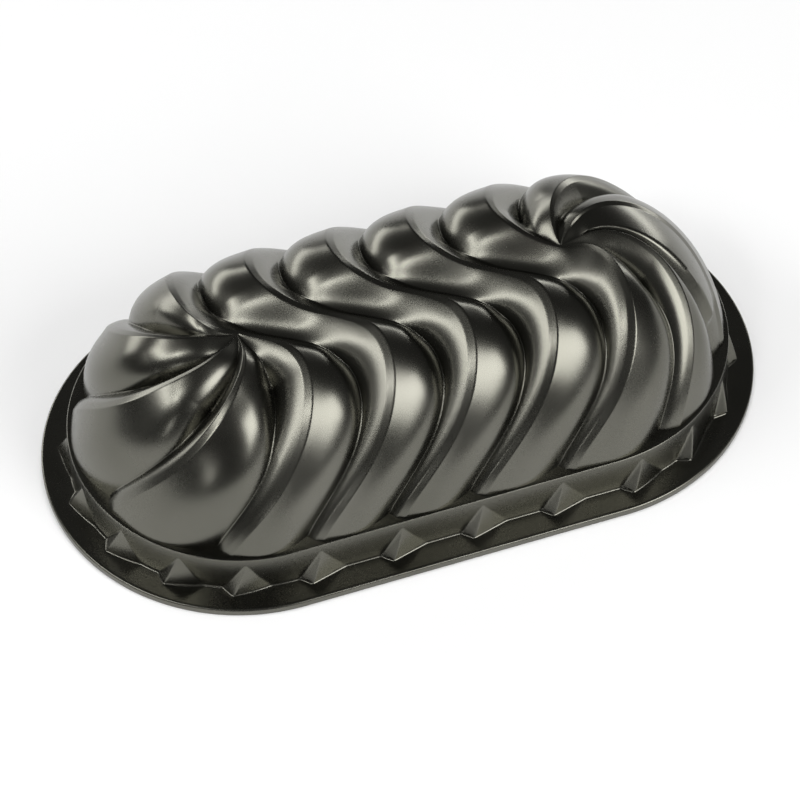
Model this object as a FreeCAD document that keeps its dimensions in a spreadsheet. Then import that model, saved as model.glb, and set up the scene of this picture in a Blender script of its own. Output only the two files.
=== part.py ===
import FreeCAD, Part
import math
import os

# Fluted loaf bundt pan, standing upside down on its rim.
# Rim face on z = 0, long side along X, spine of the dome along the X axis.
# The pan looks the same after half a turn about Z, so flutes and teeth are laid out
# for one half of the outline and repeated for the other.

doc = FreeCAD.newDocument("bundt_pan")

# ---------------------------------------------------------------- driving sizes (mm, degrees)
SIZES = [
    ("centre_offset", 64.5, "end centres, distance from the middle along X"),
    ("rim_radius", 77.2, "outer radius of the rim at the round ends"),
    ("rim_thickness", 3.1, "thickness of the flat rim"),
    ("rim_round", 0.9, "rounding of the rim's outer edges"),
    ("wall", 2.8, "wall of the casting"),
    ("lining", 0.4, "thickness of the nonstick lining"),
    ("crest_height", 76.4, "top of the ridges"),
    ("saddle_height", 73.0, "ridge height over the spine"),
    ("crest_radius", 16.4, "distance of the highest ridge points from the spine"),
    ("flank_base", 2.7, "centre height of the elliptical flank"),
    ("foot_radius", 64.7, "foot of the ridges on the ledge"),
    ("ledge_height", 20.4, "flat ledge around the dome"),
    ("ledge_radius", 66.5, "outer edge of the ledge"),
    ("ledge_round", 0.4, "rounding of the ledge edge"),
    ("flute_pitch", 32.25, "distance between ridges along the spine"),
    ("land_half", 1.6, "half width of the strip along a ridge"),
    ("land_step", 1.3, "drop across that strip"),
    ("depth_spine", 6.0, "flute depth over the spine"),
    ("depth_flank", 12.0, "greatest flute depth"),
    ("depth_foot", 4.3, "flute depth at the ledge"),
    ("depth_knee", 0.35, "place of the greatest depth, part of the way to the foot"),
    ("foot_bulge", 1.2, "swell of the flute surfaces near the ledge"),
    ("panel_depth", 0.7, "blank crescent panel below the ridge line"),
    ("tooth_tip", 71.2, "border tooth, tip radius"),
    ("tooth_height", 16.6, "border tooth, height of its apex"),
    ("tooth_back", 4.0, "border tooth, steep side along the wall"),
    ("tooth_apex", 5.0, "border tooth, apex from the tip along the wall"),
    ("tooth_run", 14.6, "border tooth, long side along the wall"),
    ("tooth_start", 5.0, "first tooth on the straight, from the end centre"),
    ("tooth_angle", 22.1, "angle between teeth at the round ends"),
    ("tooth_first_angle", 4.5, "first tooth of a round end"),
]
# Swing of a ridge along the outline, polynomial in (distance from spine / foot radius).
SWING = (94.1, -124.1, -100.1, 319.9, -211.9)
# Turn of each ridge of a round end away from its even place: near the crest, at the foot.
TURN = {0: (1.4, -3.0), 4: (-0.6, 3.2), 5: (-1.4, -0.9), 6: (-4.2, -4.9), 7: (-7.3, -3.9)}
# Crease of a flute, as the part of the way across it: at the spine, at one and two thirds, at the foot.
FRONT_CREASE = (0.40, 0.56, 0.74, 0.94)
REAR_CREASE = (0.60, 0.64, 0.72, 0.93)
END_CREASE = {4: (0.2, 0.45, 0.74, 0.9), 5: (0.1, 0.1, 0.2, 0.86), 6: (0.7, 0.7, 0.76, 0.92),
              7: (0.5, 0.6, 0.74, 0.93), 12: (0.5, 0.6, 0.76, 0.93), 13: (0.8, 0.78, 0.82, 0.94),
              14: (0.8, 0.73, 0.81, 0.94), 15: (0.2, 0.5, 0.74, 0.94)}

sheet = doc.addObject("Spreadsheet::Sheet", "sizes")
for row, (alias, value, note) in enumerate(SIZES, start=1):
    sheet.set("A%d" % row, alias)
    sheet.set("B%d" % row, str(value))
    sheet.set("C%d" % row, note)
    sheet.setAlias("B%d" % row, alias)
doc.recompute()


def size(alias):
    return float(sheet.get(alias))


HALF = size("centre_offset")
FOOT = size("foot_radius")
CREST = size("crest_height")
CREST_R = size("crest_radius")
BASE = size("flank_base")
LEDGE = size("ledge_height")
LEDGE_R = size("ledge_radius")
WALL = size("wall")
PITCH = size("flute_pitch")
RIDGES = 16
# Points in each smooth face: rows from spine to foot, columns across a strip, columns elsewhere.
ROWS = 22
LAND_COLS = 3
FLUTE_COLS = 8
# Places tried to either side when the inside is kept one wall away from the outside.
WALL_STEPS = 16
# Parts of a half circle of the border wall.
ARCS = 4
# The flute that carries the blank panel, and the part of its width taken by the panel's wall.
PANEL_FLUTE = 5
PANEL_EDGE = 0.1
# Part of the way to the foot over which the soft section at the spine turns into the sharp one.
SOFT_END = 0.3
# Flutes narrower than this part of the pitch are made less deep.
FULL_WIDTH = 0.8


# ---------------------------------------------------------------- outline and ridges
def smooth(t):
    t = min(max(t, 0.0), 1.0)
    return t * t * (3.0 - 2.0 * t)


def half_length(r):
    return 2.0 * HALF + math.pi * r


def outline(r, s):
    """Point and outward direction at length s on the oval line, distance r from the spine."""
    s = s % (2.0 * half_length(r))
    back = s >= half_length(r)
    if back:
        s -= half_length(r)
    if s <= 2.0 * HALF or r < 1e-9:
        x, y, ex, ey = min(s, 2.0 * HALF) - HALF, -r, 0.0, -1.0
    else:
        t = (s - 2.0 * HALF) / r
        ex, ey = math.sin(t), -math.cos(t)
        x, y = HALF + r * ex, r * ey
    if back:
        return -x, -y, -ex, -ey
    return x, y, ex, ey


def swing(r):
    t = r / FOOT
    return sum(c * t ** (n + 1) for n, c in enumerate(SWING))


def ridge(i, r):
    """Length along the outline at which ridge i stands."""
    turns, k = divmod(i, 8)
    start = turns * half_length(r)
    x = swing(r)
    if k in (1, 2, 3):
        return start + k * PITCH + x
    crest, foot = TURN[k]
    reach = min(max((r / FOOT - 0.36) / 0.64, 0.0), 1.0)
    turn = math.radians(crest + (foot - crest) * reach)
    if k == 0:
        return start + x + r * turn
    if k == 4:
        return start + 2.0 * HALF + x + r * turn
    if r < 1e-9:
        return start + 2.0 * HALF
    lean = math.atan2(x, r) if x > 0 else x / r
    return start + 2.0 * HALF + r * (math.radians(45.0 * (k - 4)) + turn + lean)


def crest_height(r):
    """Height of the ridges at distance r from the spine."""
    if r < CREST_R:
        dip = CREST - size("saddle_height")
        return CREST - dip * (1.0 + math.cos(math.pi * r / CREST_R)) / 2.0
    rise = CREST - BASE
    reach = (FOOT - CREST_R) / math.sqrt(1.0 - ((LEDGE - BASE) / rise) ** 2)
    return BASE + rise * math.sqrt(1.0 - ((r - CREST_R) / reach) ** 2)


def inward(r):
    """Inward direction across the wall: straight down at the spine, level at the foot."""
    tilt = math.pi / 2.0 * (r / FOOT) ** 2
    return math.sin(tilt), math.cos(tilt)


def flute_depth(t):
    """Depth of a full-size flute, t part of the way from the spine to the foot."""
    spine, flank, foot, knee = [size("depth_" + name) for name in ("spine", "flank", "foot", "knee")]
    if t < knee:
        return spine + (flank - spine) * smooth(t / knee)
    return flank + (foot - flank) * smooth((t - knee) / (1.0 - knee))


def crease_place(i, t):
    """Where the crease lies across flute i: the cubic through the four given places."""
    if i in END_CREASE:
        a, b, c, d = END_CREASE[i]
    else:
        a, b, c, d = FRONT_CREASE if i < 8 else REAR_CREASE
    x = 3.0 * t
    place = (-a * (x - 1) * (x - 2) * (x - 3) + 3 * b * x * (x - 2) * (x - 3)
             - 3 * c * x * (x - 1) * (x - 3) + d * x * (x - 1) * (x - 2)) / 6.0
    return min(max(place, 0.03), 0.97)


def even_side(q):
    """Side of a flute over the spine, falling smoothly from the ridge to the bottom."""
    return 0.5 * q * (2.0 - q) + 0.5 * smooth(q)


def broad_side(q, t):
    """Broad side of a flute: a ramp that rolls off steeply into the crease."""
    ramp = 0.6 - 0.4 * smooth((t - 0.25) / 0.4)
    rolled = ramp * q + (1.0 - ramp) * q ** 4
    return even_side(q) + (rolled - even_side(q)) * smooth(t / SOFT_END)


def steep_side(w, t):
    """Narrow side of a flute, from the next ridge down to the crease."""
    soft = 0.65 + 0.25 * smooth((t - SOFT_END) / 0.3)
    steep = soft * w + (1.0 - soft) * w ** 3
    return even_side(w) + (steep - even_side(w)) * smooth(t / SOFT_END)


def panel_lift(t):
    """One where the blank panel stands, nought above its tip and below its straight end."""
    return smooth((t - 0.1) / 0.1) * (1.0 - smooth((t - 0.93) / 0.02))


class Row:
    """One line around the dome at distance r from the spine."""

    def __init__(self, r):
        self.r = r
        self.t = r / FOOT
        self.marks = [ridge(i, r) for i in range(RIDGES + 1)]
        self.pitch = [self.marks[i + 1] - self.marks[i] for i in range(RIDGES)]
        self.scale = [min(1.0, pitch / PITCH) for pitch in self.pitch]
        self.full = flute_depth(self.t)
        self.drop = size("land_step") * smooth(self.t / SOFT_END)
        self.bulge = size("foot_bulge") * smooth((self.t - 0.7) / 0.3)

    def span(self, i):
        """Lengths between which flute i lies, clear of the ridge strips."""
        land = size("land_half") * self.scale[i]
        return self.marks[i] + land, self.marks[i + 1] - land

    def crease(self, i):
        low, high = self.span(i)
        return low + (high - low) * crease_place(i, self.t)

    def flute(self, i, v):
        """Depth of flute i at v, from 0 at its own ridge to 1 at the next."""
        crease = crease_place(i, self.t)
        deep = self.full * min(1.0, self.pitch[i] / (FULL_WIDTH * PITCH))
        drop = self.drop * self.scale[i]
        if v < crease:
            q = v / crease
            return deep * broad_side(q, self.t) - self.bulge * self.scale[i] * math.sin(math.pi * q) ** 1.5
        depth = drop + (deep - drop) * steep_side((1.0 - v) / (1.0 - crease), self.t)
        if i == PANEL_FLUTE:
            wall = min((v - crease) / PANEL_EDGE, 1.0)
            panel = deep + (size("panel_depth") - deep) * wall
            depth += (panel - depth) * panel_lift(self.t)
        return depth

    def depth(self, s):
        length = 2.0 * half_length(self.r)
        while s < self.marks[0]:
            s += length
        while s >= self.marks[0] + length:
            s -= length
        i = RIDGES - 1
        while i > 0 and self.marks[i] > s:
            i -= 1
        low, high = self.span(i)
        if low < s < high:
            return self.flute(i, (s - low) / (high - low))
        before, after = ((i - 1) % RIDGES, i) if s <= low else (i, (i + 1) % RIDGES)
        width = size("land_half") * (self.scale[before] + self.scale[after])
        if width < 1e-6:
            return 0.0
        top = low if s <= low else high + width
        return self.drop * self.scale[before] * (top - s) / width

    def wall_depth(self, s, wall):
        """Depth of a surface kept at least one wall below the outside."""
        best = 0.0
        for n in range(-WALL_STEPS, WALL_STEPS + 1):
            d = wall * n / WALL_STEPS
            best = max(best, self.depth(s + d) + math.sqrt(wall * wall - d * d))
        return best

    def point(self, s, d):
        x, y, ex, ey = outline(self.r, s)
        out, down = inward(self.r)
        return FreeCAD.Vector(x - ex * d * out, y - ey * d * out, crest_height(self.r) - d * down)


def row_radius(j):
    return FOOT * (1.0 - (1.0 - j / ROWS) ** 1.4)


# ---------------------------------------------------------------- smooth faces through points
def curve_poles(points):
    n = len(points)
    if n == 2:
        step = (points[1] - points[0]) / 3.0
        return [points[0], points[0] + step, points[1] - step, points[1]]
    slopes = [(points[1] * 4.0 - points[0] * 3.0 - points[2]) / 2.0]
    slopes += [(points[i + 1] - points[i - 1]) / 2.0 for i in range(1, n - 1)]
    slopes.append((points[-1] * 3.0 - points[-2] * 4.0 + points[-3]) / 2.0)
    poles = [points[0]]
    for i in range(n):
        if i > 0:
            poles.append(points[i] - slopes[i] / 3.0)
        if i < n - 1:
            poles.append(points[i] + slopes[i] / 3.0)
    poles.append(points[-1])
    return poles


def knots(n):
    return [float(k) for k in range(n)], [4] + [2] * (n - 2) + [4]


def smooth_edge(points):
    values, counts = knots(len(points))
    curve = Part.BSplineCurve()
    curve.buildFromPolesMultsKnots(curve_poles(points), counts, values, False, 3)
    return curve.toShape()


def smooth_face(grid):
    rows = [curve_poles(line) for line in grid]
    columns = [curve_poles([row[c] for row in rows]) for c in range(len(rows[0]))]
    poles = [[columns[c][p] for c in range(len(columns))] for p in range(len(columns[0]))]
    u_values, u_counts = knots(len(grid))
    v_values, v_counts = knots(len(grid[0]))
    surface = Part.BSplineSurface()
    surface.buildFromPolesMultsKnots(poles, u_counts, v_counts, u_values, v_values, False, False, 3, 3)
    return surface.toShape()


def flat_face(outer, inner):
    wires = [Part.Wire(Part.__sortEdges__(outer)), Part.Wire(Part.__sortEdges__(inner))]
    return Part.makeFace(wires, "Part::FaceMakerBullseye")


def closed_solid(faces):
    shell = Part.makeShell(faces)
    shell.sewShape(0.001)
    if shell.ShapeType != "Shell":
        shell = shell.Shells[0]
    solid = Part.makeSolid(shell)
    if solid.Volume < 0:
        solid.reverse()
    return solid


# ---------------------------------------------------------------- dome, outside and inside
def between(a, b, n):
    return [a + (b - a) * k / (n - 1.0) for k in range(n)]


def land_points(row, i):
    """Across the strip of ridge i, from the lower edge up to the crest line."""
    before = (i - 1) % RIDGES
    low = row.marks[i] - size("land_half") * row.scale[before]
    high = row.span(i)[0]
    places = zip(between(low, high, LAND_COLS), between(row.flute(before, 1.0), 0.0, LAND_COLS))
    return [row.point(s, d) for s, d in places]


def flute_points(row, i, start, end):
    """Across flute i between two parts of its width."""
    low, high = row.span(i)
    return [row.point(low + (high - low) * v, row.flute(i, v)) for v in between(start, end, FLUTE_COLS)]


def flute_grids(rows, i):
    """Strip, broad side and steep side of one flute; the panel adds an edge of its own."""
    creases = [crease_place(i, row.t) for row in rows]
    stops = [[0.0] * len(rows), creases, [1.0] * len(rows)]
    if i == PANEL_FLUTE:
        stops.insert(2, [c + PANEL_EDGE for c in creases])
    grids = [[land_points(row, i) for row in rows]]
    for start, end in zip(stops, stops[1:]):
        grids.append([flute_points(row, i, a, b) for row, a, b in zip(rows, start, end)])
    return grids


def dome_outside():
    """Faces of ridges and flutes, and the edges of their feet."""
    rows = [Row(row_radius(j)) for j in range(ROWS + 1)]
    grids = []
    for i in range(RIDGES):
        grids += flute_grids(rows, i)
    return [smooth_face(grid) for grid in grids], [smooth_edge(grid[-1]) for grid in grids]


def dome_inside(wall):
    """Inner face of the dome one wall below the outside, carried down to the inner ledge."""
    rows = [Row(row_radius(j)) for j in range(ROWS + 1)]
    faces, feet = [], []
    for i in range(RIDGES):
        broad, steep = [], []
        for row in rows:
            left = between(row.marks[i], row.crease(i), FLUTE_COLS)
            right = between(row.crease(i), row.marks[i + 1], FLUTE_COLS)
            broad.append([row.point(s, row.wall_depth(s, wall)) for s in left])
            steep.append([row.point(s, row.wall_depth(s, wall)) for s in right])
        for grid in (broad, steep):
            low = [FreeCAD.Vector(p.x, p.y, LEDGE - wall) for p in grid[-1]]
            faces.append(smooth_face(grid))
            faces.append(smooth_face([grid[-1], low]))
            feet.append(smooth_edge(low))
    return faces, feet


# ---------------------------------------------------------------- toothed border
def border_place(s, r, z):
    """Point at length s along the border wall, moved out to radius r."""
    x, y, ex, ey = outline(LEDGE_R, s)
    return FreeCAD.Vector(x + ex * (r - LEDGE_R), y + ey * (r - LEDGE_R), z)


def oval_marks():
    """Lengths that part the oval into its two sides and short arcs of its ends."""
    marks = []
    for half in (0, 1):
        start = half * half_length(LEDGE_R)
        marks.append(start)
        for n in range(ARCS):
            marks.append(start + 2.0 * HALF + math.pi * LEDGE_R * n / ARCS)
    return marks + [2.0 * half_length(LEDGE_R)]


def oval_skin(profile):
    """Upright faces that follow the oval through the given pairs of radius and height, and their edges."""
    marks = oval_marks()
    faces, upper, lower = [], [], []
    for a, b in zip(marks, marks[1:]):
        places = between(a, b, FLUTE_COLS)
        grid = [[border_place(s, r, z) for s in places] for r, z in profile]
        faces.append(smooth_face(grid))
        upper.append(smooth_edge(grid[0]))
        lower.append(smooth_edge(grid[-1]))
    return faces, upper, lower


def tooth_marks():
    marks = []
    for half in (0, 1):
        start = half * half_length(LEDGE_R)
        for n in range(4):
            marks.append(start + size("tooth_start") + n * PITCH)
        for n in range(8):
            angle = math.radians(size("tooth_first_angle") + n * size("tooth_angle"))
            marks.append(start + 2.0 * HALF + LEDGE_R * angle)
    return marks


def tooth(mark):
    """Three-sided pyramid on the border wall, its root reaching into the wall."""
    low = 0.5 * size("rim_thickness")
    apex = mark + size("tooth_apex")
    nose = border_place(mark, size("tooth_tip"), low)
    left = border_place(mark - size("tooth_back"), LEDGE_R, low)
    right = border_place(mark + size("tooth_run"), LEDGE_R, low)
    root = border_place(apex, LEDGE_R - 0.5 * WALL, low)
    top = border_place(apex, LEDGE_R, size("tooth_height"))
    corners = ((nose, left, top), (nose, top, right), (left, root, top), (root, right, top),
               (nose, right, root, left))
    return closed_solid([Part.Face(Part.makePolygon(list(c) + [c[0]])) for c in corners])


# ---------------------------------------------------------------- the pieces
def outer_skin():
    dome, feet = dome_outside()
    turn = size("ledge_round")
    rounding, edge, _ = oval_skin([(LEDGE_R - turn * (1.0 - math.cos(a)), LEDGE - turn * (1.0 - math.sin(a)))
                                   for a in between(math.pi / 2.0, 0.0, 4)])
    wall, _, foot = oval_skin([(LEDGE_R, LEDGE - turn), (LEDGE_R, 0.0)])
    return dome + rounding + wall + [flat_face(edge, feet)], foot


def inner_skin(wall):
    dome, feet = dome_inside(wall)
    side, edge, foot = oval_skin([(LEDGE_R - wall, LEDGE - wall), (LEDGE_R - wall, 0.0)])
    return dome + side + [flat_face(edge, feet)], foot


def shape_object(name, shape):
    piece = doc.addObject("Part::Feature", name)
    piece.Shape = shape
    piece.Placement = FreeCAD.Placement()
    piece.Label = name
    return piece


def bound(kind, name, **rules):
    """Parametric object whose sizes follow the sheet."""
    item = doc.addObject(kind, name)
    for prop, rule in rules.items():
        item.setExpression(prop.replace("__", "."), rule)
    return item


def fused(name, pieces):
    joined = doc.addObject("Part::MultiFuse", name)
    joined.Shapes = pieces
    joined.Refine = True
    return joined


def cut(name, base, tool):
    rest = doc.addObject("Part::Cut", name)
    rest.Base = base
    rest.Tool = tool
    return rest


def oval_plate(name, radius, height, base="0"):
    """Flat plate with round ends: one box and two cylinders."""
    block = bound("Part::Box", name + "_middle", Length="2 * sizes.centre_offset",
                  Width="2 * (%s)" % radius, Height=height,
                  Placement__Base__x="-sizes.centre_offset",
                  Placement__Base__y="-(%s)" % radius, Placement__Base__z=base)
    ends = [bound("Part::Cylinder", name + side, Radius=radius, Height=height,
                  Placement__Base__x=sign + "sizes.centre_offset", Placement__Base__z=base)
            for side, sign in (("_left", "-"), ("_right", ""))]
    return fused(name, [block] + ends)


def rounded(name, plate, top_round, foot_round):
    """The plate with its upper and lower edges rounded."""
    doc.recompute()
    item = doc.addObject("Part::Fillet", name)
    item.Base = plate
    middle = plate.Shape.BoundBox.Center.z
    edges = []
    for n, edge in enumerate(plate.Shape.Edges, start=1):
        box = edge.BoundBox
        radius = top_round if box.ZMin > middle else foot_round
        if box.ZLength < 0.01:
            edges.append((n, radius, radius))
    item.Edges = edges
    return item


outer, outer_foot = outer_skin()
inner, inner_foot = inner_skin(WALL)
core, core_foot = inner_skin(WALL + size("lining"))
fluted_body = shape_object("fluted_body", closed_solid(outer + inner + [flat_face(outer_foot, inner_foot)]))

rim = rounded("rim", oval_plate("rim_plate", "sizes.rim_radius", "sizes.rim_thickness"),
              size("rim_round"), 0.5 * size("rim_round"))
opening = oval_plate("rim_opening", "sizes.ledge_radius - 0.5 * sizes.wall", "3 * sizes.rim_thickness",
                     "-sizes.rim_thickness")
teeth = shape_object("border_teeth", Part.makeCompound([tooth(mark) for mark in tooth_marks()]))
cast_shell = fused("cast_shell", [fluted_body, cut("rim_ring", rim, opening), teeth])
nonstick_lining = shape_object("nonstick_lining",
                               closed_solid(inner + core + [flat_face(inner_foot, core_foot)]))
for piece in (cast_shell, nonstick_lining):
    piece.Label = piece.Name
doc.recompute()

for item in doc.Objects:
    if "Invalid" in item.State or "Error" in item.State:
        raise RuntimeError("%s did not compute" % item.Name)

os.makedirs("parts", exist_ok=True)
for piece in (cast_shell, nonstick_lining):
    shape = piece.Shape
    if shape.isNull() or not shape.isValid() or len(shape.Solids) != 1:
        raise RuntimeError("%s is not one valid solid" % piece.Label)
    shape.Solids[0].exportStep("parts/%s.step" % piece.Label)
    print(piece.Label, round(shape.Volume / 1000.0, 1), "ml", shape.BoundBox)
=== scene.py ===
import math

import bmesh
import bpy
import numpy as np
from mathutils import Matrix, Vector


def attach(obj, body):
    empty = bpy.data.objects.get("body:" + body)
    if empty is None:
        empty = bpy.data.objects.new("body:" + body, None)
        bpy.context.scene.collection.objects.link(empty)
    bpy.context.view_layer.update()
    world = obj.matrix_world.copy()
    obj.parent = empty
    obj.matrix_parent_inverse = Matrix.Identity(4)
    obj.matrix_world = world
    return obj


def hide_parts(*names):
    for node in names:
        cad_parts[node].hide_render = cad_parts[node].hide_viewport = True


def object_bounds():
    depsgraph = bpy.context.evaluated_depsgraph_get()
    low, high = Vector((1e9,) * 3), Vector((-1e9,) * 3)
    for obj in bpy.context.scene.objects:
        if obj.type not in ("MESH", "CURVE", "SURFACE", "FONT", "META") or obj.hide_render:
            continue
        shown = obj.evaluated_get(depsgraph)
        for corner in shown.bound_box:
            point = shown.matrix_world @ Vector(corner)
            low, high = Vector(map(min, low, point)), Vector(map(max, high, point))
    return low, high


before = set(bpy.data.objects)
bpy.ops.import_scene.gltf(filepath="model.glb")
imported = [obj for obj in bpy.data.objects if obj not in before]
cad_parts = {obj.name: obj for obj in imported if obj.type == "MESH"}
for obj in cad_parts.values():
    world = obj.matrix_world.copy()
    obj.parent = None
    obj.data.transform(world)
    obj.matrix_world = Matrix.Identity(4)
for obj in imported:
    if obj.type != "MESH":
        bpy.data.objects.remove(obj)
cad_box = [[float(x) for x in corner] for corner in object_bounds()]
MM = 0.001

# ------------------------------------------------------------------ sizes in mm, as in the CAD
# The oval: its end centres lie HALF from the middle, and the rim is RIM out from there.
RIM = cad_box[1][1] / MM
HALF = cad_box[1][0] / MM - RIM
RIM_THICK, RIM_ROUND = 3.1, 0.9
# The inside of the border is WALL in from its outside. The dome's is a little nearer, so that it
# stays clear of the lining.
WALL, INNER_WALL = 2.8, 2.5
# Dome: top of the ridges, their dip over the spine, and the ellipse of the flank.
CREST, SADDLE, CREST_R, BASE = 76.4, 73.0, 16.4, 2.7
FOOT, LEDGE, LEDGE_R, LEDGE_ROUND = 64.7, 20.4, 66.5, 0.4
RIDGES, PITCH = 16, 32.25
# The strip along a ridge: its half width, the drop across it, and the rounding of its edges.
LAND, STEP_DOWN, EDGE = 1.6, 1.3, 0.5
# Flute depth over the spine, at its greatest, and at the foot; and where it is greatest.
DEPTHS, KNEE = (6.0, 12.0, 4.3), 0.35
# Flutes narrower than this part of the pitch are less deep.
FULL_WIDTH = 0.8
# Swell of the broad sides near the foot, and where it starts.
BULGE, BULGE_START = 1.2, 0.7
# The even section at the spine has turned into the sharp one here.
SOFT_END = 0.3
# Broad side: share of its fall that is an even ramp, at the top and lower down, and where that
# share changes. The rest is a steep roll of this power.
RAMP_TOP, RAMP_LOW, RAMP_START, RAMP_END, ROLL = 0.6, 0.2, 0.25, 0.65, 4.0
# Steep side: share of its fall that is an even slope. The CAD's lower flank is up to 1 mm deeper.
STEEP_SHARE = 0.65
# Place of each crease across its flute: at the spine, at one and two thirds, and at the foot.
FRONT_CREASE, BACK_CREASE = (0.4, 0.56, 0.74, 0.94), (0.6, 0.64, 0.72, 0.93)
CREASE = {i: FRONT_CREASE for i in range(4)}
CREASE.update({i: BACK_CREASE for i in range(8, 12)})
CREASE.update({4: (0.2, 0.45, 0.74, 0.9), 5: (0.1, 0.1, 0.2, 0.86), 6: (0.7, 0.7, 0.76, 0.92),
               7: (0.5, 0.6, 0.74, 0.93), 12: (0.5, 0.6, 0.76, 0.93), 13: (0.8, 0.78, 0.82, 0.94),
               14: (0.8, 0.73, 0.81, 0.94), 15: (0.2, 0.5, 0.74, 0.94)})
CREASE_LIMITS = (0.03, 0.97)
# The blank panel: its flute, its depth, the part of the width that its wall takes, and where it
# starts, is whole, ends and is gone.
PANEL_FLUTE, PANEL_DEPTH, PANEL_EDGE = 5, 0.7, 0.1
PANEL_START, PANEL_WHOLE, PANEL_END, PANEL_GONE = 0.1, 0.2, 0.93, 0.95
# Border teeth.
TIP, TOOTH_TOP = 71.2, 16.6
TOOTH_BACK, TOOTH_APEX, TOOTH_RUN = 4.0, 5.0, 14.6
TOOTH_START, TOOTH_ANGLE, TOOTH_FIRST = 5.0, 22.1, 4.5
FILLET = 0.9
# Swing of a ridge along the oval, and the turn of each ridge of a round end, near the crest and
# at the foot.
SWING = (94.1, -124.1, -100.1, 319.9, -211.9)
TURN = {0: (1.4, -3.0), 4: (-0.6, 3.2), 5: (-1.4, -0.9), 6: (-4.2, -4.9), 7: (-7.3, -3.9)}
TURN_START = 0.36
END_SPACING = math.radians(45.0)

# ------------------------------------------------------------------ fineness of the mesh
OUTSIDE_ROWS, INSIDE_ROWS, INSIDE_COLUMNS = 150, 50, 20
ROW_CROWDING = 1.4
FLUTE_COUNTS = (5, 3, 15, 6, 6, 15, 3, 5)
CREASE_ZONE = 1.1
ARC_POINTS = 6
FINE, COARSE = 0.3, 0.8
WALL_STEP = 0.35
SHARP_ANGLE = math.radians(48.0)
TINY = 1e-9


def smooth(t):
    t = np.clip(t, 0.0, 1.0)
    return t * t * (3.0 - 2.0 * t)


def even_side(q):
    """Side of a flute over the spine, falling smoothly from the ridge to the bottom."""
    return 0.5 * q * (2.0 - q) + 0.5 * smooth(q)


def cubic(values, t):
    """The cubic through four values at t = 0, 1/3, 2/3 and 1."""
    x = 3.0 * t
    a, b, c, d = values
    return (-a * (x - 1) * (x - 2) * (x - 3) / 6 + b * x * (x - 2) * (x - 3) / 2
            - c * x * (x - 1) * (x - 3) / 2 + d * x * (x - 1) * (x - 2) / 6)


# ------------------------------------------------------------------ outline, ridges and crest
def half_length(r):
    return 2.0 * HALF + math.pi * r


def outline(r, s):
    """Points and outward directions on the oval at distance r from the spine."""
    r, s = np.broadcast_arrays(np.asarray(r, float), np.asarray(s, float))
    half = half_length(r)
    s = np.mod(s, 2.0 * half)
    back = s >= half
    s = np.where(back, s - half, s)
    straight = (s <= 2.0 * HALF) | (r < TINY)
    t = np.where(straight, 0.0, (s - 2.0 * HALF) / np.maximum(r, TINY))
    ex = np.where(straight, 0.0, np.sin(t))
    ey = np.where(straight, -1.0, -np.cos(t))
    x = np.where(straight, np.minimum(s, 2.0 * HALF) - HALF, HALF) + r * ex
    y = r * ey
    sign = np.where(back, -1.0, 1.0)
    return sign * x, sign * y, sign * ex, sign * ey


def ridge(i, r):
    """Length along the oval at which ridge i stands."""
    turns, k = divmod(i, RIDGES // 2)
    start = turns * half_length(r)
    t = r / FOOT
    x = sum(c * t ** (n + 1) for n, c in enumerate(SWING))
    if k in (1, 2, 3):
        return start + k * PITCH + x
    crest, foot = TURN[k]
    turn = np.radians(crest + (foot - crest) * np.clip((t - TURN_START) / (1.0 - TURN_START), 0.0, 1.0))
    if k == 0:
        return start + x + r * turn
    if k == 4:
        return start + 2.0 * HALF + x + r * turn
    lean = np.where(x > 0.0, np.arctan2(x, r), x / np.maximum(r, TINY))
    return start + 2.0 * HALF + r * (END_SPACING * (k - 4) + turn + lean)


def crest_height(r):
    dip = CREST - (CREST - SADDLE) * (1.0 + np.cos(math.pi * np.minimum(r / CREST_R, 1.0))) / 2.0
    rise = CREST - BASE
    reach = (FOOT - CREST_R) / math.sqrt(1.0 - ((LEDGE - BASE) / rise) ** 2)
    flank = BASE + rise * np.sqrt(1.0 - (np.clip(r - CREST_R, 0.0, None) / reach) ** 2)
    return np.where(r < CREST_R, dip, flank)


def flute_depth(t):
    spine, flank, foot = DEPTHS
    return np.where(t < KNEE, spine + (flank - spine) * smooth(t / KNEE),
                    flank + (foot - flank) * smooth((t - KNEE) / (1.0 - KNEE)))


def panel_lift(t):
    """One where the blank panel stands, nought above its tip and below its straight end."""
    rise = smooth((t - PANEL_START) / (PANEL_WHOLE - PANEL_START))
    return rise * (1.0 - smooth((t - PANEL_END) / (PANEL_GONE - PANEL_END)))


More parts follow.
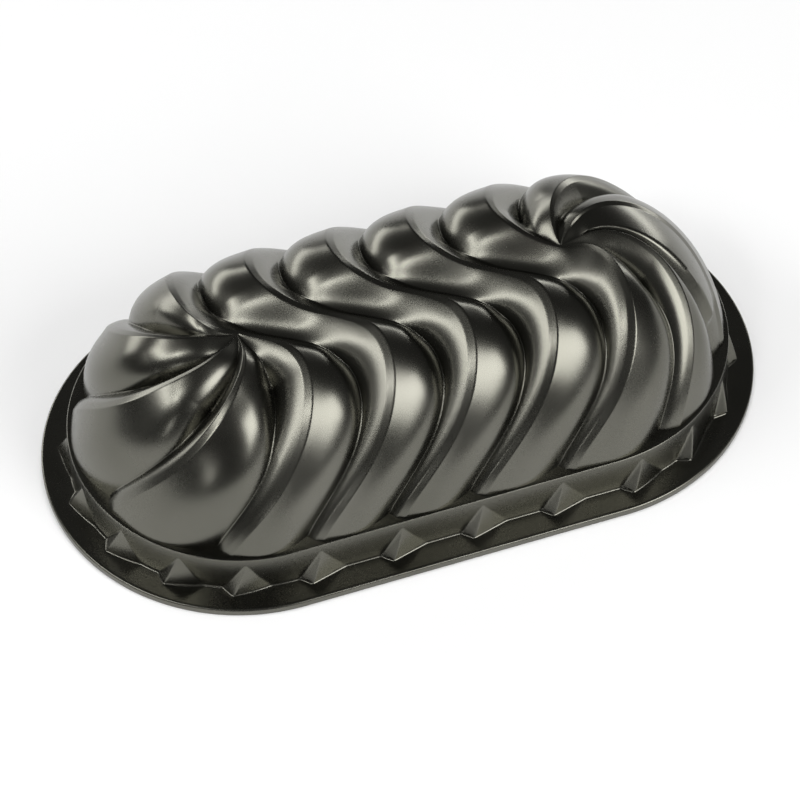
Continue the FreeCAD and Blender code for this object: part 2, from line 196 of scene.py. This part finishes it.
# ------------------------------------------------------------------ flutes
class Rows:
    """The ridges and flutes on every row, a row being one distance from the spine.

    Lists hold one array for each flute, with one value for each row as a column.
    """

    def __init__(self, count):
        self.r = FOOT * (1.0 - (1.0 - np.linspace(0.0, 1.0, count)) ** ROW_CROWDING)[:, None]
        self.t = self.r / FOOT
        self.marks = [ridge(i, self.r) for i in range(RIDGES + 1)]
        self.pitch = [self.marks[i + 1] - self.marks[i] for i in range(RIDGES)]
        self.scale = [np.minimum(1.0, pitch / PITCH) for pitch in self.pitch]
        self.crease = [np.clip(cubic(CREASE[i], self.t), *CREASE_LIMITS) for i in range(RIDGES)]
        self.sharp = smooth(self.t / SOFT_END)
        self.step = [STEP_DOWN * self.sharp * scale for scale in self.scale]
        self.edge_drop = [self.step[i - 1] for i in range(RIDGES)]
        plain = self.step[PANEL_FLUTE]
        self.edge_drop[PANEL_FLUTE + 1] = plain + (PANEL_DEPTH - plain) * panel_lift(self.t)

    def broad_side(self, q):
        """Broad side of a flute: a ramp that rolls off steeply into the crease."""
        change = smooth((self.t - RAMP_START) / (RAMP_END - RAMP_START))
        ramp = RAMP_TOP + (RAMP_LOW - RAMP_TOP) * change
        rolled = ramp * q + (1.0 - ramp) * q ** ROLL
        return even_side(q) + (rolled - even_side(q)) * self.sharp

    def steep_side(self, w):
        """Narrow side of a flute, from the next ridge down to the crease."""
        steep = STEEP_SHARE * w + (1.0 - STEEP_SHARE) * w ** 3
        return even_side(w) + (steep - even_side(w)) * self.sharp

    def flute(self, i, v):
        """Depth of flute i at v, from 0 at its own strip to 1 at the next."""
        crease = self.crease[i]
        deep = flute_depth(self.t) * np.minimum(1.0, self.pitch[i] / (FULL_WIDTH * PITCH))
        q = np.clip(v / crease, 0.0, 1.0)
        w = np.clip((1.0 - v) / (1.0 - crease), 0.0, 1.0)
        swell = BULGE * self.scale[i] * smooth((self.t - BULGE_START) / (1.0 - BULGE_START))
        broad = deep * self.broad_side(q) - swell * np.sin(math.pi * q) ** 1.5
        band = self.step[i] + (deep - self.step[i]) * self.steep_side(w)
        if i == PANEL_FLUTE:
            wall = np.clip((v - crease) / PANEL_EDGE, 0.0, 1.0)
            band = band + (deep + (PANEL_DEPTH - deep) * wall - band) * panel_lift(self.t)
        return np.where(v < crease, broad, band)

    def depth(self, i, d):
        """Depth at distance d after ridge i, with half a strip at either side of the flute."""
        i = i % RIDGES
        up = (i + 1) % RIDGES
        pitch, land = self.pitch[i], LAND * self.scale[i]
        flute = self.flute(i, np.clip((d - land) / np.maximum(pitch - 2.0 * land, TINY), 0.0, 1.0))
        own_width = np.maximum(LAND * (self.scale[i] + self.scale[i - 1]), TINY)
        next_width = np.maximum(LAND * (self.scale[i] + self.scale[up]), TINY)
        own = self.edge_drop[i] * np.clip((land - d) / own_width, 0.0, 1.0)
        following = self.edge_drop[up] * (1.0 - np.clip((d - pitch + land) / next_width, 0.0, 1.0))
        return np.where(d < land, own, np.where(d > pitch - land, following, flute))

    def near(self, i, d):
        """Depth at distance d after ridge i, which may lie in a neighbouring flute."""
        pitch = self.pitch[i]
        inside = np.where(d > pitch, self.depth(i + 1, d - pitch), self.depth(i, d))
        return np.where(d < 0, self.depth(i - 1, self.pitch[i - 1] + d), inside)

    def smoothed(self, i, d):
        """The depth averaged over a short length, which rounds the edges."""
        weights = (1, 2, 3, 4, 3, 2, 1)
        places = (-1.0, -0.66, -0.33, 0.0, 0.33, 0.66, 1.0)
        total = 0.0
        for place, weight in zip(places, weights):
            total = total + weight * self.near(i, d + place * EDGE * self.scale[i])
        return total / sum(weights)

    def hollow(self, i, d):
        """Depth of the inside, a wall below the outside."""
        best = 0.0
        for k in np.linspace(-1.0, 1.0, 15):
            best = np.maximum(best, self.near(i, d + k * INNER_WALL) + INNER_WALL * math.sqrt(1.0 - k * k))
        return best

    def columns(self, i):
        """Distances from one ridge to the next, close together at the strip edges and the crease."""
        pitch, scale = self.pitch[i], self.scale[i]
        low = LAND * scale
        high = pitch - low
        crease = low + (high - low) * self.crease[i]
        zone = np.minimum(CREASE_ZONE * scale, 0.45 * np.minimum(crease - low, high - crease))
        edge = CREASE_ZONE * EDGE * scale
        low_edge = low + np.minimum(edge, 0.4 * (crease - zone - low))
        high_edge = high - np.minimum(edge, 0.4 * (high - crease - zone))
        stops = [0.0 * pitch, low, low_edge, crease - zone, crease, crease + zone, high_edge, high, pitch]
        out = []
        for a, b, count in zip(stops, stops[1:], FLUTE_COUNTS):
            out += [a + (b - a) * k / count for k in range(count)]
        return np.concatenate(out, axis=1)

    def even_columns(self, i):
        return self.pitch[i] * np.linspace(0.0, 1.0, INSIDE_COLUMNS, endpoint=False)


def dome_points(rows, columns, depth_at):
    """Points of the dome: depth is measured straight down at the spine and level at the foot."""
    tilt = math.pi / 2.0 * rows.t ** 2
    out, down = np.sin(tilt), np.cos(tilt)
    height = crest_height(rows.r)
    blocks = []
    for i in range(RIDGES):
        d = columns(i)
        depth = depth_at(i, d)
        x, y, ex, ey = outline(rows.r, rows.marks[i] + d)
        blocks.append(np.stack([x - ex * depth * out, y - ey * depth * out, height - depth * down], axis=-1))
    return np.concatenate(blocks, axis=1)


def dome_outside():
    rows = Rows(OUTSIDE_ROWS)
    return dome_points(rows, rows.columns, rows.smoothed)


def dome_inside():
    rows = Rows(INSIDE_ROWS)
    return dome_points(rows, rows.even_columns, rows.hollow)


# ------------------------------------------------------------------ toothed border and rim
def tooth_marks():
    """Lengths along the border wall at which the teeth's noses stand."""
    marks = []
    for half in (0, 1):
        start = half * half_length(LEDGE_R)
        marks += [start + TOOTH_START + n * PITCH for n in range(4)]
        marks += [start + 2.0 * HALF + LEDGE_R * math.radians(TOOTH_FIRST + n * TOOTH_ANGLE)
                  for n in range(8)]
    return marks


def tooth_bulge(s, z):
    """How far the teeth, three-sided pyramids, stand out at length s and height z above the rim."""
    whole = 2.0 * half_length(LEDGE_R)
    to_apex = z / (TOOTH_TOP - RIM_THICK)
    out = np.zeros(np.broadcast(s, z).shape)
    for mark in tooth_marks():
        d = np.mod(s - mark + 0.5 * whole, whole) - 0.5 * whole
        for start, end in ((-TOOTH_BACK, 0.0), (0.0, TOOTH_RUN)):
            to_end = (d - start - to_apex * (TOOTH_APEX - start)) / (end - start)
            to_start = 1.0 - to_end - to_apex
            inside = (to_start >= -TINY) & (to_end >= -TINY) & (to_apex >= -TINY)
            to_nose = to_end if end == 0.0 else to_start
            out = np.where(inside, np.maximum(out, to_nose * (TIP - LEDGE_R)), out)
    return out


def wall_radius(s, z):
    """Radius of the border wall with its teeth, averaged over a short way, which rounds their edges."""
    total = 0.0
    for ds, dz in ((0, 0), (WALL_STEP, 0), (-WALL_STEP, 0), (0, WALL_STEP), (0, -WALL_STEP)):
        total = total + tooth_bulge(s + ds, z - RIM_THICK + dz)
    return LEDGE_R + total / 5.0


def border_columns():
    """Lengths round the border, close together at the teeth."""
    marks = tooth_marks()
    marks.append(marks[0] + 2.0 * half_length(LEDGE_R))
    out = []
    for a, b in zip(marks, marks[1:]):
        out += list(np.arange(a - TOOTH_BACK - FINE, a + TOOTH_RUN + 2.0 * FINE, FINE))
        out += list(np.arange(a + TOOTH_RUN + COARSE, b - TOOTH_BACK - 0.5 * COARSE, COARSE))
    return np.array(sorted(out))


def border_profile(s):
    """Radius and height of each row, from the ledge edge down the border, over the rim and up inside."""
    falling = np.linspace(math.pi / 2.0, 0.0, ARC_POINTS)
    rising = np.linspace(0.0, math.pi / 2.0, ARC_POINTS)
    edge = [(LEDGE_R - LEDGE_ROUND * (1.0 - math.cos(a)), LEDGE - LEDGE_ROUND * (1.0 - math.sin(a)))
            for a in falling]
    heights = np.arange(LEDGE - LEDGE_ROUND - 0.4, RIM_THICK + FILLET, -WALL_STEP)
    wall = [(wall_radius(s, z), z) for z in heights]
    foot = wall_radius(s, RIM_THICK + 0.2)
    fillet = [(foot + FILLET * (1.0 - math.cos(a)), RIM_THICK + FILLET * (1.0 - math.sin(a)))
              for a in rising]
    flat_start = foot + FILLET
    flat = [(flat_start + (RIM - RIM_ROUND - flat_start) * k, RIM_THICK) for k in (0.3, 0.6, 0.9)]
    upper = [(RIM - RIM_ROUND * (1.0 - math.sin(a)), RIM_THICK - RIM_ROUND * (1.0 - math.cos(a)))
             for a in rising]
    small = 0.5 * RIM_ROUND
    lower = [(RIM - small * (1.0 - math.cos(a)), small * (1.0 - math.sin(a)))
             for a in np.linspace(0.0, math.pi / 2.0, 4)]
    inside = [(LEDGE_R - WALL, z) for z in (0.0, 0.5 * (LEDGE - WALL), LEDGE - WALL)]
    return edge + wall + fillet + flat + upper + lower + inside


def border_rows():
    s = border_columns()
    x, y, ex, ey = outline(LEDGE_R, s)
    rows = []
    for r, z in border_profile(s):
        rows.append(np.stack([x + ex * (r - LEDGE_R), y + ey * (r - LEDGE_R), np.full(x.shape, z)], axis=-1))
    return np.stack(rows)


# ------------------------------------------------------------------ mesh of the casting
def loop_key(points):
    """Length round the oval of each point of a closed loop."""
    x, y = points[:, 0], points[:, 1]
    angle = np.mod(np.arctan2(x - np.clip(x, -HALF, HALF), -y), 2.0 * math.pi)
    straight = np.where(y < 0.0, x + HALF, 3.0 * HALF - x + math.pi * LEDGE_R)
    ends = [2.0 * HALF + LEDGE_R * angle, 4.0 * HALF + LEDGE_R * angle]
    return np.select([x > HALF, x < -HALF], ends, straight)


class Builder:
    """Collects closed rows of points and the faces between them."""

    def __init__(self):
        self.blocks, self.faces, self.count = [], [], 0

    def points(self):
        return np.concatenate(self.blocks)

    def add_rows(self, grid):
        """Adds a grid of closed rows with its faces, and gives back the index of each point."""
        rows, columns = grid.shape[:2]
        index = self.count + np.arange(rows * columns).reshape(rows, columns)
        self.blocks.append(grid.reshape(-1, 3))
        self.count += rows * columns
        following = np.roll(index, -1, axis=1)
        quads = np.stack([index[:-1], index[1:], following[1:], following[:-1]], axis=-1)
        self.faces += quads.reshape(-1, 4).tolist()
        return index

    def ordered(self, loop):
        """The loop from its smallest length round the oval on, and those lengths, made to rise."""
        key = loop_key(self.points()[loop])
        start = int(np.argmin(key))
        key = np.maximum.accumulate(np.roll(key, -start))
        return np.roll(loop, -start), np.append(key, key[0] + 2.0 * half_length(LEDGE_R))

    def zip_loops(self, inner_loop, outer_loop):
        """Triangles between two closed loops with different numbers of points."""
        inner, inner_key = self.ordered(inner_loop)
        outer, outer_key = self.ordered(outer_loop)
        i = j = 0
        n, m = len(inner), len(outer)
        while i < n or j < m:
            a, b = inner[i % n], outer[j % m]
            next_inner = inner_key[i + 1] if i < n else math.inf
            next_outer = outer_key[j + 1] if j < m else math.inf
            if next_inner <= next_outer:
                self.faces.append([a, b, inner[(i + 1) % n]])
                i += 1
            else:
                self.faces.append([a, b, outer[(j + 1) % m]])
                j += 1


def finish_mesh(mesh):
    """Merges the points over the spine, turns the faces outward and shades them smooth."""
    bm = bmesh.new()
    bm.from_mesh(mesh)
    bmesh.ops.remove_doubles(bm, verts=bm.verts, dist=2e-6)
    bmesh.ops.recalc_face_normals(bm, faces=bm.faces)
    for edge in bm.edges:
        if len(edge.link_faces) == 2 and edge.calc_face_angle(0) > SHARP_ANGLE:
            edge.smooth = False
    for face in bm.faces:
        face.smooth = True
    bm.to_mesh(mesh)
    bm.free()


def make_casting():
    build = Builder()
    dome = build.add_rows(dome_outside())
    border = build.add_rows(border_rows())
    inside = build.add_rows(dome_inside())
    build.zip_loops(dome[-1], border[0])
    build.zip_loops(inside[-1], border[-1])
    mesh = bpy.data.meshes.new("casting")
    mesh.from_pydata((build.points() * MM).tolist(), [], build.faces)
    mesh.validate()
    finish_mesh(mesh)
    piece = bpy.data.objects.new("casting", mesh)
    bpy.context.scene.collection.objects.link(piece)
    return piece


casting = make_casting()
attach(casting, "root")
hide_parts("cast_shell")


# ------------------------------------------------------------------ materials
def new_material(name):
    mat = bpy.data.materials.new(name)
    mat.use_nodes = True
    return mat, mat.node_tree.nodes, mat.node_tree.links, mat.node_tree.nodes["Principled BSDF"]


def noise(nodes, links, place, scale, detail, rough=0.5):
    node = nodes.new("ShaderNodeTexNoise")
    node.inputs["Scale"].default_value = scale
    node.inputs["Detail"].default_value = detail
    node.inputs["Roughness"].default_value = rough
    links.new(place, node.inputs["Vector"])
    return node.outputs["Fac"]


def spread(nodes, links, value, low, high, start, end):
    """The value moved from start..end to low..high."""
    node = nodes.new("ShaderNodeMapRange")
    for name, number in (("From Min", start), ("From Max", end), ("To Min", low), ("To Max", high)):
        node.inputs[name].default_value = number
    links.new(value, node.inputs["Value"])
    return node.outputs["Result"]


def sum_of(nodes, links, a, b, share):
    """a + share * b."""
    node = nodes.new("ShaderNodeMath")
    node.operation = "MULTIPLY_ADD"
    node.inputs[1].default_value = share
    links.new(b, node.inputs[0])
    links.new(a, node.inputs[2])
    return node.outputs["Value"]


def tint(nodes, links, factor, dark, light):
    ramp = nodes.new("ShaderNodeValToRGB")
    ramp.color_ramp.elements[0].color = dark
    ramp.color_ramp.elements[1].color = light
    links.new(factor, ramp.inputs["Fac"])
    return ramp.outputs["Color"]


# Noise scales per metre: slow mottling and a few pits. The mottling's own range is narrow.
MOTTLE_SCALE, PIT_SCALE = 28.0, 90.0
MOTTLE_RANGE = (0.45, 0.9)
PIT_RANGE = (0.02, 0.06)
GRAIN_SHARE, PEEL_SHARE, PIT_SHARE = 0.35, 0.8, 0.8
PEEL_TO_GRAIN = 0.25


def coated(name, dark, light, metallic, rough, grain, grain_scale, bump_mm):
    """Satin coating: slow mottling, fine grain, faint orange peel and a few pits."""
    mat, nodes, links, shader = new_material(name)
    place = nodes.new("ShaderNodeTexCoord").outputs["Object"]
    slow = noise(nodes, links, place, MOTTLE_SCALE, 3.0)
    fine = noise(nodes, links, place, grain_scale, 2.0, 0.6)
    peel = noise(nodes, links, place, PEEL_TO_GRAIN * grain_scale, 2.0)
    pits = nodes.new("ShaderNodeTexVoronoi")
    pits.inputs["Scale"].default_value = PIT_SCALE
    links.new(place, pits.inputs["Vector"])
    pit = spread(nodes, links, pits.outputs["Distance"], -1.0, 0.0, *PIT_RANGE)
    mottle = sum_of(nodes, links, slow, fine, GRAIN_SHARE)
    shade = spread(nodes, links, mottle, 0.0, 1.0, *MOTTLE_RANGE)
    links.new(tint(nodes, links, shade, dark, light), shader.inputs["Base Color"])
    shader.inputs["Metallic"].default_value = metallic
    level = spread(nodes, links, mottle, rough - grain, rough + grain, *MOTTLE_RANGE)
    links.new(level, shader.inputs["Roughness"])
    height = sum_of(nodes, links, sum_of(nodes, links, fine, peel, PEEL_SHARE), pit, PIT_SHARE)
    bump = nodes.new("ShaderNodeBump")
    bump.inputs["Strength"].default_value = 1.0
    bump.inputs["Distance"].default_value = bump_mm * MM
    links.new(height, bump.inputs["Height"])
    links.new(bump.outputs["Normal"], shader.inputs["Normal"])
    return mat


casting.data.materials.append(coated(
    "graphite_casting", dark=(0.134, 0.132, 0.112, 1), light=(0.164, 0.161, 0.139, 1), metallic=1.0,
    rough=0.27, grain=0.03, grain_scale=1500.0, bump_mm=0.004))
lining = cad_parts["nonstick_lining"]
lining.data.materials.clear()
lining.data.materials.append(coated(
    "nonstick_lining", dark=(0.022, 0.022, 0.022, 1), light=(0.032, 0.032, 0.031, 1), metallic=0.0,
    rough=0.38, grain=0.05, grain_scale=900.0, bump_mm=0.03))


# ------------------------------------------------------------------ floor, lights and camera, in metres
FLOOR_REACH = 6.0
LIGHT_DISTANCE, FILL_DISTANCE = 2.2, 2.4


def make_floor():
    a = FLOOR_REACH
    mesh = bpy.data.meshes.new("floor")
    mesh.from_pydata([(-a, -a, 0), (a, -a, 0), (a, a, 0), (-a, a, 0)], [], [(0, 1, 2, 3)])
    mat, _, _, shader = new_material("floor")
    shader.inputs["Base Color"].default_value = (0.9, 0.9, 0.9, 1)
    shader.inputs["Roughness"].default_value = 0.6
    mesh.materials.append(mat)
    floor = bpy.data.objects.new("floor", mesh)
    bpy.context.scene.collection.objects.link(floor)


def make_world():
    world = bpy.data.worlds.new("World")
    bpy.context.scene.world = world
    world.use_nodes = True
    background = world.node_tree.nodes["Background"]
    background.inputs["Color"].default_value = (1, 1, 1, 1)
    background.inputs["Strength"].default_value = 0.06


def direction(azimuth, elevation):
    """A unit vector; azimuth 0 is the front, -Y, and 90 the right, +X."""
    a, e = math.radians(azimuth), math.radians(elevation)
    return Vector((math.sin(a) * math.cos(e), -math.cos(a) * math.cos(e), math.sin(e)))


def panel(name, azimuth, elevation, distance, size, radiance, glossy=True):
    """A rectangular soft light that faces the part."""
    light = bpy.data.lights.new(name, "AREA")
    light.shape = "RECTANGLE"
    light.size, light.size_y = size
    light.energy = radiance * math.pi * size[0] * size[1]
    lamp = bpy.data.objects.new(name, light)
    bpy.context.scene.collection.objects.link(lamp)
    lamp.location = direction(azimuth, elevation) * distance
    lamp.rotation_euler = direction(azimuth, elevation).to_track_quat("Z", "Y").to_euler()
    lamp.visible_glossy = glossy


def make_camera(azimuth, elevation, distance, angle, shift):
    data = bpy.data.cameras.new("camera")
    data.angle = math.radians(angle)
    data.shift_x, data.shift_y = shift
    data.clip_start = 0.05
    camera = bpy.data.objects.new("camera", data)
    bpy.context.scene.collection.objects.link(camera)
    camera.location = direction(azimuth, elevation) * distance
    camera.rotation_euler = (-direction(azimuth, elevation)).to_track_quat("-Z", "Y").to_euler()
    bpy.context.scene.camera = camera


make_floor()
make_world()
panel("front_panel", 33, 36, LIGHT_DISTANCE, (1.2, 1.25), 5.5)
panel("left_panel", -92, 44, LIGHT_DISTANCE, (1.5, 0.38), 7.0)
panel("lobe_panel", -60, 52, LIGHT_DISTANCE, (0.42, 0.3), 11.0)
panel("right_panel", 130, 6, LIGHT_DISTANCE, (1.1, 0.4), 4.8)
panel("corner_panel", -36, 16, LIGHT_DISTANCE, (0.35, 0.3), 3.0)
panel("back_panel", -152, 14, LIGHT_DISTANCE, (1.8, 0.6), 4.0)
panel("top_fill", 0, 90, FILL_DISTANCE, (2.5, 2.5), 2.0, glossy=False)
bpy.context.scene.view_settings.view_transform = "Standard"
make_camera(azimuth=-19.314, elevation=52.084, distance=1.77552, angle=10.0, shift=(-0.00017, 0.01068))
